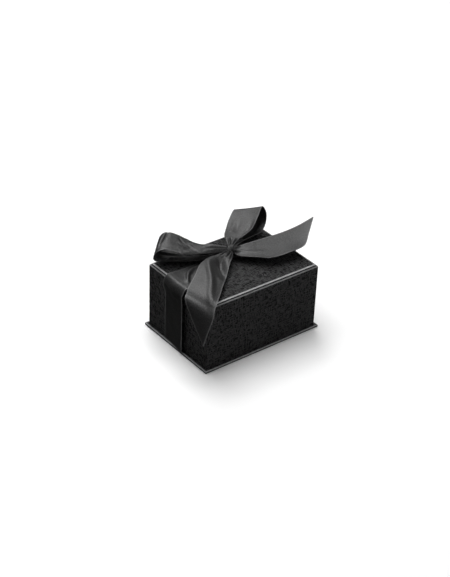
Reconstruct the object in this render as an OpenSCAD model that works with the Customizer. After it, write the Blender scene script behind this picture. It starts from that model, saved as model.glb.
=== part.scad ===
// Jewelry gift box: a full-depth lift-off lid over a tray that is glued to an overhanging base board,
// with a padded insert inside and a wide satin ribbon and bow fixed to the lid.
// Millimetres, +Z up, origin on the underside at the middle of the base, X along the long side.

/* [Lid] */
// Length of the lid over its paper
lid_l = 84; // [66:1:110]
// Width of the lid over its paper
lid_w = 60; // [48:1:80]
// Height of the lid from its lower edge to the ledge round its top panel
lid_h = 43; // [36:0.5:60]
// Thickness of the lid's greyboard
lid_board_t = 1.5; // [1:0.1:2]
// How far the top panel stands in from the lid's sides
panel_inset = 1.1; // [0.6:0.1:2]
// Thickness of the top panel's greyboard
panel_board_t = 1; // [0.8:0.1:1.5]

/* [Base] */
// How far the base board sticks out past the lid on every side
base_overhang = 1.9; // [1:0.1:4]
// Thickness of the base board
base_board_t = 1.2; // [1:0.1:2]
// How far the underside sheet stands in from the edge of the base
liner_inset = 1.4; // [0.8:0.1:3]

/* [Tray] */
// Height of the tray's boards
tray_h = 26; // [22:0.5:30]
// Thickness of the tray's greyboard
tray_board_t = 1.2; // [1:0.1:1.6]
// Gap on each side between the tray and the inside of the lid
fit_gap = 0.4; // [0.25:0.05:0.8]

/* [Paper] */
// Thickness of the linen-embossed covering paper
paper_t = 0.15; // [0.1:0.01:0.25]
// Thickness of the tape that holds the board corners together
tape_t = 0.1; // [0.08:0.01:0.15]
// Length of each leg of a corner tape
tape_leg = 11; // [8:0.5:15]
// Width of the paper turned in behind an edge
hem_w = 12; // [8:0.5:15]

/* [Insert] */
// Height of the padded insert
pad_h = 20; // [14:0.5:21]
// Gap on each side between the insert and the tray
pad_gap = 0.3; // [0.2:0.05:0.6]
// Thickness of the velvet
velvet_t = 0.6; // [0.4:0.1:0.8]
// Thickness of the card under the foam
pad_card_t = 0.8; // [0.5:0.1:1.2]
// Length of the slit that holds a ring
slit_l = 30; // [20:1:36]
// Width of the ring slit
slit_w = 1.6; // [1.2:0.1:2.5]
// Depth of the ring slit
slit_depth = 13; // [8:0.5:14]
// Diameter of each hole for an earring post
post_hole_d = 1.6; // [1.2:0.1:2.5]
// Distance from the middle of the insert to each earring hole
post_hole_y = 14; // [10:0.5:16]

/* [Ribbon] */
// Width of the satin ribbon
ribbon_w = 20; // [15:0.5:25]
// Thickness of the ribbon as it is modelled
ribbon_t = 0.4; // [0.25:0.05:0.5]
// How far the ribbon's middle lies behind the lid's middle
ribbon_shift = 2; // [0:0.5:4]
// Diameter of the knot
knot_d = 6.4; // [5:0.1:6.8]
// Length of the knot along the lid
knot_l = 5.6; // [4.5:0.1:5.8]

/* [Hidden] */

$fn = 48;
cut = 1;                                        // how far a cutting solid runs past a face

// Base: liner, turned-in hem, board and covering paper, one on the other
base_l = lid_l + 2 * base_overhang;
base_w = lid_w + 2 * base_overhang;
base_board_z = 2 * paper_t;
base_top = base_board_z + base_board_t + paper_t;

// Lid: a wall is paper, tape, board and lining paper
lid_skin = paper_t + tape_t;
lid_core_l = lid_l - 2 * lid_skin;
lid_core_w = lid_w - 2 * lid_skin;
lid_in_l = lid_core_l - 2 * lid_board_t;
lid_in_w = lid_core_w - 2 * lid_board_t;
lid_wall_z = base_top + paper_t;
ledge_z = base_top + lid_h;
lid_board_top = ledge_z - paper_t;
lid_wall_h = lid_board_top - lid_board_t - lid_wall_z;
panel_l = lid_l - 2 * panel_inset;
panel_w = lid_w - 2 * panel_inset;
panel_top = ledge_z + panel_board_t + paper_t;

// Tray: the same make-up, a fit gap inside the lid's lining
tray_l = lid_in_l - 2 * (paper_t + fit_gap);
tray_w = lid_in_w - 2 * (paper_t + fit_gap);
tray_core_l = tray_l - 2 * lid_skin;
tray_core_w = tray_w - 2 * lid_skin;
tray_in_l = tray_core_l - 2 * tray_board_t;
tray_in_w = tray_core_w - 2 * tray_board_t;
tray_top = base_top + tray_h + paper_t;
well_l = tray_in_l - 2 * paper_t;
well_w = tray_in_w - 2 * paper_t;
floor_z = base_top + paper_t;

// Insert
pad_l = well_l - 2 * pad_gap;
pad_w = well_w - 2 * pad_gap;
foam_l = pad_l - 2 * velvet_t;
foam_w = pad_w - 2 * velvet_t;
pad_z = floor_z;
foam_z = pad_z + pad_card_t;
pad_top = pad_z + pad_h;

// Ribbon and bow: the knot stands a little behind the middle of the top panel
knot_x = 2.2;
knot_y = 7;
knot_z = 5.9;                                   // above the top panel
knot_clear = 0.2;                               // chamfer round the knot's ends, as a share of its diameter
steps = 4;                                      // rings between two stations of a ribbon
drawn_l = 84;                                   // the lid and ribbon that the bow's points were chosen on
drawn_w = 60;
drawn_ribbon = 20;
knot_reach = [6, 10];                           // nothing within this of the middle moves with the lid's size
gathered = 6;                                   // a station this narrow keeps its width on any ribbon

// Each station of a ribbon is its rear or left edge point, then its front or right one, above the top panel.
loop_left_stations = [
    [[-1.4, 9.4, 7.5], [-1.6, 7.4, 7.1]],
    [[-5.5, 13.2, 7.9], [-7.5, 8.2, 7.3]],
    [[-11, 19, 7.9], [-16, 11, 7]],
    [[-16.5, 25, 9.7], [-24.5, 12.6, 7.4]],
    [[-21, 31, 12.5], [-30.5, 16.4, 9.3]],
    [[-25.5, 35.4, 13.5], [-36, 20.8, 11.9]],
    [[-29, 37, 11], [-40.6, 22.6, 11.3]],
    [[-30, 37, 7], [-42.4, 24.6, 7.5]],
    [[-28.5, 35, 3.8], [-41, 25, 3.6]],
    [[-23.5, 30, 2.4], [-35, 18.8, 2.4]],
    [[-14.5, 21, 2.4], [-21.5, 10, 2.4]],
    [[-7, 13.5, 3.4], [-9.5, 8.2, 3.4]],
    [[-1.4, 9, 4.8], [-1.6, 7, 4.7]]
];
loop_right_stations = [
    [[3.4, 11, 8.3], [5.6, 8.4, 8.7]],
    [[4.8, 14.6, 8.5], [9.5, 8.8, 9.5]],
    [[7.6, 19.6, 8.3], [15.5, 9.6, 10.7]],
    [[14.4, 26.6, 8.3], [22.6, 11.4, 11.9]],
    [[22.4, 33.6, 10.1], [31, 16.6, 15.3]],
    [[28.4, 37.4, 11.1], [38, 21.4, 17.9]],
    [[32.2, 38.4, 7.5], [41.2, 21, 12.9]],
    [[31.6, 36.4, 3.9], [40.4, 19.8, 6.9]],
    [[27.5, 32.4, 2.5], [36, 17.6, 2.9]],
    [[18, 24.6, 2.3], [25, 13.4, 2.3]],
    [[9.4, 16, 3.2], [13, 10.4, 3.2]],
    [[4, 11.4, 4.7], [6, 9.2, 4.7]]
];
tail_left_stations = [
    [[-1, 4.8, 5.7], [1.2, 3, 5.3]],
    [[-6.4, 5.6, 6.2], [-2.4, -0.6, 5.3]],
    [[-12.2, 6.6, 6], [-6.2, -3.8, 4.9]],
    [[-18, 6.2, 5.5], [-10.4, -7.8, 4.7]],
    [[-25, 2.6, 5.3], [-17, -14, 4.1]],
    [[-32, -3.2, 4.9], [-26.5, -22.6, 3.5]],
    [[-40.9, -9.3, 3.4], [-36.8, -32, 3]],
    [[-45, -12.6, 1.6], [-41, -35, 0.4]],
    [[-47.6, -15.2, -0.6], [-43.4, -36.8, -3.6]],
    [[-48.6, -24.6, -10.4], [-46.6, -36.6, -12]],
    [[-49, -35.2, -20.4], [-49.2, -35.8, -20.8]]
];
tail_right_stations = [
    [[5.8, 7.2, 5.9], [5.5, 4.8, 5.3]],
    [[9.4, 7.8, 5.5], [7.6, 0, 4.3]],
    [[14, 8, 5.2], [12, -6.4, 3.9]],
    [[22.5, 7.4, 5.1], [20.6, -12.6, 3.7]],
    [[35.4, 5.6, 5.5], [33, -14.6, 4.5]],
    [[45.8, 4, 6.7], [43.9, -14, 5.1]],
    [[54.6, 3, 8.5], [53.6, -6.4, 7.5]],
    [[63.8, 1.9, 11.4], [63.6, 1.3, 11.2]]
];

// The band lies on the lid: its ends hang down the short sides and its middle is gathered under the knot.
band_front = ribbon_shift - ribbon_w / 2;
band_rear = ribbon_shift + ribbon_w / 2;
band_gap = 0.5;                                 // from the band to a short side and to the base
band_side = lid_l / 2 + band_gap;
band_end = lid_h + panel_top - ledge_z - band_gap;
band_flare = 2;                                 // how far its loose front edge stands off on the left
band_lay = 0.45;                                // height of its middle over the top panel
band_left = -lid_l / 2;
band_right = lid_l / 2;
band_stations = [
    [[-band_side, band_rear, -band_end], [-band_side - band_flare, band_front, -band_end]],
    [[-band_side, band_rear, -25], [-band_side - band_flare, band_front, -25]],
    [[-band_side, band_rear, -8], [-band_side - band_flare, band_front, -8]],
    [[-band_side, band_rear, -3], [-band_side - 1, band_front, -3]],
    [[-band_side + 0.3, band_rear, -0.5], [-band_side + 0.1, band_front, -0.5]],
    [[band_left + 1.4, band_rear, band_lay + 0.1], [band_left + 1.4, band_front, band_lay + 0.1]],
    [[band_left + 8, band_rear, band_lay], [band_left + 8, band_front + 0.4, band_lay]],
    [[-20, band_rear, band_lay], [-20, -4, band_lay]],
    [[-6, 10.6, band_lay + 0.2], [-6, 2.4, band_lay + 0.2]],
    [[knot_x, knot_y + 2.6, 0.9], [knot_x, knot_y - 2.6, 0.9]],
    [[10, 10.4, band_lay + 0.2], [10, 0.4, band_lay + 0.2]],
    [[22, band_rear, band_lay], [22, -6.6, band_lay]],
    [[band_right - 8, band_rear, band_lay], [band_right - 8, band_front, band_lay]],
    [[band_right - 1.4, band_rear, band_lay + 0.1], [band_right - 1.4, band_front, band_lay + 0.1]],
    [[band_side - 0.3, band_rear, -0.5], [band_side - 0.3, band_front, -0.5]],
    [[band_side, band_rear, -3], [band_side, band_front, -3]],
    [[band_side, band_rear, -8], [band_side, band_front, -8]],
    [[band_side, band_rear, -band_end], [band_side, band_front, -band_end]]
];

// A box centred on the Z axis with its underside at z.
module slab(length, width, height, z) {
    translate([-length / 2, -width / 2, z]) cube([length, width, height]);
}

// An open ring between two centred rectangles.
module ring(length, width, wall, height, z) {
    difference() {
        slab(length, width, height, z);
        slab(length - 2 * wall, width - 2 * wall, height + 2 * cut, z - cut);
    }
}

// A long wall runs the whole length of its core; side is -1 at the front and 1 at the back.
module long_wall(core_l, core_w, board_t, height, z, side) {
    translate([0, side * (core_w - board_t) / 2, 0]) slab(core_l, board_t, height, z);
}

// A short wall fits between the long ones; side is -1 at the left and 1 at the right.
module short_wall(core_l, core_w, board_t, height, z, side) {
    translate([side * (core_l - board_t) / 2, 0, 0]) slab(board_t, core_w - 2 * board_t, height, z);
}

// Four angles of tape over the outside corners of a ring of boards.
module corner_tapes(core_l, core_w, height, z) {
    outer_l = core_l + 2 * tape_t;
    outer_w = core_w + 2 * tape_t;
    for (x_side = [-1, 1], y_side = [-1, 1]) {
        intersection() {
            ring(outer_l, outer_w, tape_t, height, z);
            translate([x_side * outer_l / 2, y_side * outer_w / 2, 0]) slab(2 * tape_leg, 2 * tape_leg, height, z);
        }
    }
}

// Catmull-Rom curve through four points.
function curve(a, b, c, d, t) =
    0.5 * (2 * b + (c - a) * t + (2 * a - 5 * b + 4 * c - d) * t * t + (3 * b - a - 3 * c + d) * t * t * t);
function pick(list, i) = list[max(0, min(len(list) - 1, i))];
function ramp(value, low, high) = max(0, min(1, (value - low) / (high - low)));
function unit(v) = v / norm(v);

// Moves a point of the bow out or in with the lid's sides, but not near the knot.
function moved(half, drawn_half, reach, value) =
    value + sign(value) * (half - drawn_half) * ramp(abs(value), reach, drawn_half);
function on_lid(p) = [
    moved(lid_l / 2, drawn_l / 2, knot_reach[0], p[0]),
    moved(lid_w / 2, drawn_w / 2, knot_reach[1], p[1]),
    p[2]
];
// Widens or narrows a station with the ribbon, but not where it is gathered.
function widened(s) = let(
        middle = (s[0] + s[1]) / 2,
        spread = norm(s[0] - s[1]),
        factor = 1 + (ribbon_w / drawn_ribbon - 1) * ramp(spread, gathered, drawn_ribbon)
    ) [for (p = s) middle + (p - middle) * factor];
function bow_stations(list) = [for (s = list) widened([on_lid(s[0]), on_lid(s[1])])];

// A strip of ribbon swept through its stations as one closed solid.
module strip(stations) {
    last = len(stations) - 1;
    rows = [
        for (i = [0:last - 1], j = [0:steps - 1])
        let(t = j / steps)
        [for (e = [0, 1]) curve(pick(stations, i - 1)[e], stations[i][e], pick(stations, i + 1)[e],
            pick(stations, i + 2)[e], t)],
        stations[last]
    ];
    n = len(rows);
    middles = [for (r = rows) (r[0] + r[1]) / 2];
    faces_up = [
        for (i = [0:n - 1])
        let(along = pick(middles, i + 1) - pick(middles, i - 1), across = rows[i][1] - rows[i][0])
        unit(cross(along, across))
    ];
    points = [
        for (i = [0:n - 1])
        let(half = faces_up[i] * ribbon_t / 2)
        each [rows[i][0] + half, rows[i][1] + half, rows[i][1] - half, rows[i][0] - half]
    ];
    faces = [
        [0, 1, 2, 3],
        [4 * n - 1, 4 * n - 2, 4 * n - 3, 4 * n - 4],
        for (i = [0:n - 2], k = [0:3])
        let(a = 4 * i + k, b = 4 * i + (k + 1) % 4)
        each [[a, a + 4, b], [b, a + 4, b + 4]]
    ];
    translate([0, 0, panel_top]) polyhedron(points, faces, convexity = 6);
}

// ---- base ----
module base_board() {
    color("dimgray") slab(base_l - 2 * paper_t, base_w - 2 * paper_t, base_board_t, base_board_z);
}

// Covers the board's top and edges and turns in under it.
module base_wrap() {
    color("black") difference() {
        slab(base_l, base_w, base_top - paper_t, paper_t);
        slab(base_l - 2 * paper_t, base_w - 2 * paper_t, base_board_t, base_board_z);
        slab(base_l - 2 * hem_w, base_w - 2 * hem_w, 2 * paper_t + cut, paper_t - cut);
    }
}

// The sheet on the underside hides the turned-in hem and touches the board inside it.
module base_liner() {
    color("black") {
        slab(base_l - 2 * liner_inset, base_w - 2 * liner_inset, paper_t, 0);
        slab(base_l - 2 * hem_w, base_w - 2 * hem_w, base_board_z, 0);
    }
}

// ---- tray ----
module tray_wall_front() {
    color("dimgray") long_wall(tray_core_l, tray_core_w, tray_board_t, tray_h, base_top, -1);
}
module tray_wall_back() {
    color("dimgray") long_wall(tray_core_l, tray_core_w, tray_board_t, tray_h, base_top, 1);
}
module tray_wall_left() {
    color("dimgray") short_wall(tray_core_l, tray_core_w, tray_board_t, tray_h, base_top, -1);
}
module tray_wall_right() {
    color("dimgray") short_wall(tray_core_l, tray_core_w, tray_board_t, tray_h, base_top, 1);
}
module tray_corner_tapes() {
    color("tan") corner_tapes(tray_core_l, tray_core_w, tray_h, base_top);
}

// Goes up the outside, over the rim and down the inside to the floor.
module tray_wrap() {
    color("black") {
        ring(tray_l, tray_w, paper_t, tray_h, base_top);
        ring(tray_in_l, tray_in_w, paper_t, tray_h, base_top);
        ring(tray_l, tray_w, (tray_l - well_l) / 2, paper_t, base_top + tray_h);
    }
}
module tray_floor_paper() {
    color("black") slab(well_l, well_w, paper_t, base_top);
}

// ---- insert ----
// The cuts that go down through the velvet into the foam: a ring slit and two earring holes.
module pad_cuts() {
    slab(slit_l, slit_w, slit_depth + cut, pad_top - slit_depth);
    for (side = [-1, 1]) {
        translate([0, side * post_hole_y, pad_top - slit_depth]) cylinder(d = post_hole_d, h = slit_depth + cut);
    }
}
module pad_card() {
    color("dimgray") slab(foam_l, foam_w, pad_card_t, pad_z);
}
module pad_foam() {
    color("dimgray") difference() {
        slab(foam_l, foam_w, pad_h - velvet_t - pad_card_t, foam_z);
        pad_cuts();
    }
}
module pad_velvet() {
    color("black") difference() {
        slab(pad_l, pad_w, pad_h, pad_z);
        slab(foam_l, foam_w, pad_h - velvet_t + cut, pad_z - cut);
        pad_cuts();
    }
}

// ---- lid ----
module lid_wall_front() {
    color("dimgray") long_wall(lid_core_l, lid_core_w, lid_board_t, lid_wall_h, lid_wall_z, -1);
}
module lid_wall_back() {
    color("dimgray") long_wall(lid_core_l, lid_core_w, lid_board_t, lid_wall_h, lid_wall_z, 1);
}
module lid_wall_left() {
    color("dimgray") short_wall(lid_core_l, lid_core_w, lid_board_t, lid_wall_h, lid_wall_z, -1);
}
module lid_wall_right() {
    color("dimgray") short_wall(lid_core_l, lid_core_w, lid_board_t, lid_wall_h, lid_wall_z, 1);
}
module lid_top_board() {
    color("dimgray") slab(lid_core_l, lid_core_w, lid_board_t, lid_board_top - lid_board_t);
}
module lid_corner_tapes() {
    color("tan") corner_tapes(lid_core_l, lid_core_w, lid_wall_h, lid_wall_z);
}

// Covers the top and the sides, goes under the lower edge and turns in behind it.
module lid_wrap() {
    color("black") {
        slab(lid_l, lid_w, paper_t, lid_board_top);
        ring(lid_l, lid_w, paper_t, lid_h - paper_t, base_top);
        ring(lid_l, lid_w, lid_skin + lid_board_t + paper_t, paper_t, base_top);
        ring(lid_in_l, lid_in_w, paper_t, hem_w, base_top);
    }
}

// Lines the inside above the turned-in hem.
module lid_lining() {
    low = base_top + hem_w;
    height = lid_wall_z + lid_wall_h - low;
    color("black") difference() {
        slab(lid_in_l, lid_in_w, height, low);
        slab(lid_in_l - 2 * paper_t, lid_in_w - 2 * paper_t, height - paper_t + cut, low - cut);
    }
}
module top_panel_board() {
    color("dimgray") slab(panel_l - 2 * paper_t, panel_w - 2 * paper_t, panel_board_t, ledge_z);
}
module top_panel_wrap() {
    color("black") difference() {
        slab(panel_l, panel_w, panel_top - ledge_z, ledge_z);
        slab(panel_l - 2 * paper_t, panel_w - 2 * paper_t, panel_board_t + cut, ledge_z - cut);
    }
}

// ---- ribbon and bow ----
module ribbon_band() {
    color("black") strip(band_stations);
}
module bow_knot() {
    bevel = knot_d * knot_clear;
    radius = knot_d / 2;
    color("black") translate([knot_x - knot_l / 2, knot_y, panel_top + knot_z]) rotate([0, 90, 0])
        rotate_extrude() polygon([
            [0, 0], [radius - bevel, 0], [radius, bevel],
            [radius, knot_l - bevel], [radius - bevel, knot_l], [0, knot_l]
        ]);
}
module bow_loop_left() {
    color("black") strip(bow_stations(loop_left_stations));
}
module bow_loop_right() {
    color("black") strip(bow_stations(loop_right_stations));
}
module bow_tail_left() {
    color("black") strip(bow_stations(tail_left_stations));
}
module bow_tail_right() {
    color("black") strip(bow_stations(tail_right_stations));
}

base_board();
base_wrap();
base_liner();
tray_wall_front();
tray_wall_back();
tray_wall_left();
tray_wall_right();
tray_corner_tapes();
tray_wrap();
tray_floor_paper();
pad_card();
pad_foam();
pad_velvet();
lid_wall_front();
lid_wall_back();
lid_wall_left();
lid_wall_right();
lid_top_board();
lid_corner_tapes();
lid_wrap();
lid_lining();
top_panel_board();
top_panel_wrap();
ribbon_band();
bow_knot();
bow_loop_left();
bow_loop_right();
bow_tail_left();
bow_tail_right();
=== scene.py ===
"""Jewelry gift box: a linen-paper lid with a satin bow, over a tray and a velvet insert, on a base board."""
import math

import bpy
import numpy as np
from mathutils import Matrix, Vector, noise


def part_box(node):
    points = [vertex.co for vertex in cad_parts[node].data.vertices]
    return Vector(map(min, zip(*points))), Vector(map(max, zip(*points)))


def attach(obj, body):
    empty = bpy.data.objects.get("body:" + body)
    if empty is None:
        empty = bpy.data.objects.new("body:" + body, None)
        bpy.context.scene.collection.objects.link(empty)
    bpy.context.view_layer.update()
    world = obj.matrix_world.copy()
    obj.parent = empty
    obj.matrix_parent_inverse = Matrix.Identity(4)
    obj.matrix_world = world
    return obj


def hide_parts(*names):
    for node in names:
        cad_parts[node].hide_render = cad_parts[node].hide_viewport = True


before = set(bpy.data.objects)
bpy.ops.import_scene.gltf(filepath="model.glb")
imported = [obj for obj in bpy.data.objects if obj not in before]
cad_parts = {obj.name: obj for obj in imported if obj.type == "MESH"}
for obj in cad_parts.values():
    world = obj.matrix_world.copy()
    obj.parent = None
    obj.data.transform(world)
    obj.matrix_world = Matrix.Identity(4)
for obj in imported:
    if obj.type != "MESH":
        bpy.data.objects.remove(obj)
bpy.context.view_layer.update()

bl_info = {
    "name": "Jewelry gift box",
    "version": (1, 0, 0),
    "blender": (4, 5, 0),
    "location": "View3D > Sidebar > Gift Box",
    "description": "Builds a ribboned jewelry gift box round its packed frame",
    "category": "Add Mesh",
}

MM = 0.001

# Paper
ARRIS_STEPS = 4             # faces round an arris
RING_SHARE = 1.6            # width of the ring of faces inside an arris, in arris radii
WEAR_HIGHLIGHT_SHARE = 1.5            # width of the strip along an edge that is painted lighter, a painted highlight over rubbed paper, in arris radii
BASE_ARRIS_SHARE = 0.8      # radius of the base's arris, in arris radii
RIM_SHARE = 1.6             # radius of the lid's lower rim, in paper thicknesses
LINING_SHARE = 1.5          # radius of the lining's folds, in paper thicknesses
LINER_CORNER = 0.0015       # radius of the corners of the sheet under the base
# how strongly the upper edges of the lid, the panel and the base are painted lighter: a painted highlight
# over rubbed paper
LID_WEAR_HIGHLIGHT, PANEL_WEAR_HIGHLIGHT, BASE_WEAR_HIGHLIGHT = 0.38, 1.0, 0.7
REAR_WEAR_HIGHLIGHT = 0.3             # painted edge highlight at the rear and the right, which catch less light, as a share of that at the front and the left

# Insert
VELVET_T = 0.0006           # thickness of the velvet
FOAM_GAP = 0.0004           # how far the foam stays below the velvet
LIP_ZONE = 0.004            # height of the zone that the cuts reach past and where the lips roll in
SLIT_DIP, SLIT_REACH = 0.0011, 0.0022
HOLE_DIP, HOLE_REACH = 0.0008, 0.0018
UNEVEN, UNEVEN_SCALE = 0.00012, 140

# Ribbon, in millimetres but for the knot's fold
KNOT_WALL = 0.4             # how far the knot's pleats start inside its box
FOLD_RADIUS = 0.42          # radius of an edge that is turned under
BAND_GATHER = 0.35          # half height of the band's gathers under the knot

# Gathers, in stations: near a knot they are full over the first two and fade over the next two; the band's
# fade from the middle of the knot on
KNOT_HOLD, KNOT_FADE = 2.1, 2.0
BAND_FADE = 2.2

# Stage
FLOOR_SIZE = 8
LIT_POINT = (0, 0, 0.03)

LID_LOW, LID_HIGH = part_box("lid_wrap")
PANEL_LOW, PANEL_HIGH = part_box("top_panel_wrap")
BASE_LOW, BASE_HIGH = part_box("base_wrap")
TRAY_LOW, TRAY_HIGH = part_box("tray_wrap")
WELL_LOW, WELL_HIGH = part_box("tray_floor_paper")
LINING_LOW, LINING_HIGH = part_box("lid_lining")
LINER_LOW, LINER_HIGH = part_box("base_liner")
PAD_LOW, PAD_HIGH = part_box("pad_velvet")
FOAM_LOW, FOAM_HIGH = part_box("pad_foam")
PANEL_TOP = PANEL_HIGH.z

# ---------------------------------------------------------------- ribbon routes
# Each station is the ribbon's rear or left edge point, its front or right one, and the height of the crown
# between them, in millimetres from the middle of the top panel's upper face.
LOOP_LEFT = [
    ((1, 8.4, 7.2), (0.6, 6.4, 6.9), 0.0),
    ((-5.5, 13.2, 7.9), (-7.5, 8.2, 7.8), 0.6),
    ((-11, 19, 7.9), (-16, 10.6, 7.9), 1.0),
    ((-16.5, 25, 9.7), (-24.5, 12.6, 8.2), 0.8),
    ((-21, 31, 12.5), (-30.5, 16.4, 10), 0.4),
    ((-25.5, 35.4, 13.5), (-36, 20.8, 11.9), 0.3),
    ((-29, 37, 11), (-40.6, 22.6, 11.3), 0.3),
    ((-30, 37, 7), (-42.4, 24.6, 7.5), 0.2),
    ((-28.5, 35, 3.8), (-41, 25, 3.6), 0.0),
    ((-23.5, 30, 2.4), (-33.6, 21.2, 2.4), 0.0),
    ((-14.5, 21, 2.4), (-20, 12.4, 2.4), 0.0),
    ((-7, 13.5, 3.4), (-9.5, 8.2, 3.4), 0.0),
    ((1, 8, 5), (0.6, 6.2, 4.9), 0.0),
]
LOOP_RIGHT = [
    ((2.2, 8.8, 7.2), (3.6, 6.8, 7.4), 0.0),
    ((4.8, 14.6, 8.5), (9.5, 8.8, 9.5), 0.3),
    ((7.6, 19.6, 8.3), (15.5, 9.6, 10.7), 0.5),
    ((14.4, 26.6, 8.3), (22.6, 11.4, 11.9), 0.6),
    ((22.4, 33.6, 10.1), (31, 16.6, 15.3), 0.4),
    ((28.4, 37.4, 11.1), (38, 21.4, 17.9), 0.2),
    ((32.2, 38.4, 7.5), (41.2, 21, 12.9), 0.2),
    ((31.6, 36.4, 3.9), (40.4, 19.8, 6.9), 0.2),
    ((27.5, 32.4, 2.5), (36, 17.6, 3.9), 0.0),
    ((18, 24.6, 2.3), (25, 13, 5.6), 0.0),
    ((9.4, 16, 3.4), (13, 9.6, 6.9), 0.0),
    ((2.6, 8.8, 5.6), (4, 6.9, 6.4), 0.0),
]
TAIL_LEFT = [
    ((1.2, 6.6, 6), (3, 5, 5.6), 0.0),
    ((-6.4, 5.6, 6.2), (-2.4, -0.6, 5.3), 0.7),
    ((-12.2, 6.6, 6), (-6.2, -3.8, 4.9), 1.1),
    ((-18, 6.2, 5.5), (-10.4, -7.8, 4.7), 1.2),
    ((-25, 2.6, 5.3), (-17, -14, 4.1), 1.2),
    ((-32, -3.2, 4.9), (-26.5, -22.6, 3.5), 1.0),
    ((-40.9, -9.3, 3.4), (-36.8, -32, 3), 0.8),
    ((-45, -12.6, 1.6), (-41, -35, 0.4), 0.6),
    ((-47.9, -15.5, -0.3), (-43.9, -37.5, -3.1), 0.4),
    ((-49.4, -25.6, -9.6), (-47.6, -37.9, -10.9), 0.2),
    ((-50.6, -37.2, -18.8), (-50.8, -37.8, -19.2), 0.0),
]
TAIL_RIGHT = [
    ((3.6, 7.4, 5.8), (3.4, 5.2, 5.4), 0.0),
    ((9, 7, 6), (3, 0.8, 4.6), 0.5),
    ((12.6, 6.4, 6.5), (10.6, -8, 5.4), 0.8),
    ((20.8, 5.2, 6.8), (18.6, -15, 5.8), 0.9),
    ((33.6, 3.4, 7.4), (31, -17, 6.6), 0.8),
    ((44, 2, 8.4), (42, -16.2, 7), 0.6),
    ((53.4, 1.4, 9.8), (52.4, -8, 8.8), 0.3),
    ((63.4, 1.2, 12), (63, 0.6, 11.8), 0.0),
]

# A fold is its half width as a share of the ribbon's width, then its points: station, share across and height
# in millimetres.
LOOP_LEFT_FOLDS = [
    (0.07, [(2.2, 1.0, 0.0), (2.4, 0.92, -0.5), (3.0, 0.5, -0.8), (3.5, 0.33, -0.6), (3.9, 0.15, 0.0)]),
    (0.2, [(1.6, 0.9, 0.0), (2.6, 0.9, 0.9), (3.6, 0.8, 1.0), (4.6, 0.8, 0.6), (5.4, 0.8, 0.0)]),
    (0.12, [(4.6, 0.0, 0.0), (5.0, 0.15, -1.2), (5.4, 0.4, -1.2), (5.8, 0.65, -0.9), (6.2, 0.85, 0.0)]),
]
LOOP_RIGHT_FOLDS = [
    (0.22, [(7.6, 0.95, 0.0), (8.4, 0.85, -1.4), (9.2, 0.7, -2.0), (10.0, 0.6, -1.4), (10.8, 0.5, 0.0)]),
    (0.14, [(0.5, 0.8, 0.0), (1.5, 0.82, 0.7), (3.0, 0.8, 0.3), (4.0, 0.8, 0.0)]),
]
TAIL_LEFT_FOLDS = [
    (0.22, [(0.9, 0.4, 0.0), (1.5, 0.44, -1.6), (2.2, 0.55, -3.8), (3.0, 0.68, -4.8), (3.7, 0.82, -3.2),
            (4.5, 0.97, 0.0)]),
    (0.13, [(1.2, 0.1, 0.0), (2.0, 0.1, 0.4), (3.0, 0.18, 0.9), (4.0, 0.38, 1.5), (5.0, 0.6, 1.6),
            (6.2, 0.8, 0.9), (7.6, 0.92, 0.0)]),
]
TAIL_RIGHT_FOLDS = [
    (0.12, [(0.4, 0.5, 0.0), (1.2, 0.5, -0.5), (2.4, 0.55, -0.3), (3.4, 0.6, 0.0)]),
]
BAND_FOLDS = [
    (0.08, [(6.2, 0.72, 0.0), (6.7, 0.64, 1.3), (7.2, 0.37, 1.8), (7.7, 0.2, 0.9), (8.2, 0.15, 0.0)]),
    (0.16, [(2.6, 0.5, 0.0), (3.6, 0.45, 0.5), (4.6, 0.5, 0.4), (5.6, 0.55, 0.0)]),
]


# ---------------------------------------------------------------- settings
class PaperSettings(bpy.types.PropertyGroup):
    """Covering paper and boards."""

    colour: bpy.props.FloatVectorProperty(
        name="Paper colour",
        description="Colour of the linen-embossed covering paper",
        subtype="COLOR", size=3, min=0, max=1, default=(0.005, 0.005, 0.0051),
    )
    # Painted highlight: the crests of the emboss are painted lighter than the paper, so the grooves read as
    # shaded.
    crest_highlight_colour: bpy.props.FloatVectorProperty(
        name="Crest colour",
        description="Colour of the paper on the crests of its embossed threads",
        subtype="COLOR", size=3, min=0, max=1, default=(0.04, 0.04, 0.0406),
    )
    # Painted highlight: a light grey laid along the upper edges over the rubbed paper, standing for the light
    # on the rounded arris.
    worn_highlight_colour: bpy.props.FloatVectorProperty(
        name="Worn colour",
        description="Colour of the paper where it is rubbed along an edge",
        subtype="COLOR", size=3, min=0, max=1, default=(0.42, 0.42, 0.426),
    )
    thread_pitch: bpy.props.FloatProperty(
        name="Thread pitch",
        description="Distance between two embossed threads",
        subtype="DISTANCE", unit="LENGTH", min=0.0003, max=0.002, default=0.00088,
    )
    thickness: bpy.props.FloatProperty(
        name="Paper thickness",
        description="Thickness of the covering paper",
        subtype="DISTANCE", unit="LENGTH", min=0.0001, max=0.0003, default=0.00015,
    )
    arris: bpy.props.FloatProperty(
        name="Arris radius",
        description="Radius of the paper where it turns over the edge of a board",
        subtype="DISTANCE", unit="LENGTH", min=0.0001, max=0.0008, default=0.00045,
    )
    hem: bpy.props.FloatProperty(
        name="Hem width",
        description="Width of the paper turned in behind an edge",
        subtype="DISTANCE", unit="LENGTH", min=0.008, max=0.015, default=0.012,
    )
    board_colour: bpy.props.FloatVectorProperty(
        name="Board colour",
        description="Colour of the recycled greyboard",
        subtype="COLOR", size=3, min=0, max=1, default=(0.19, 0.175, 0.155),
    )


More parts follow.
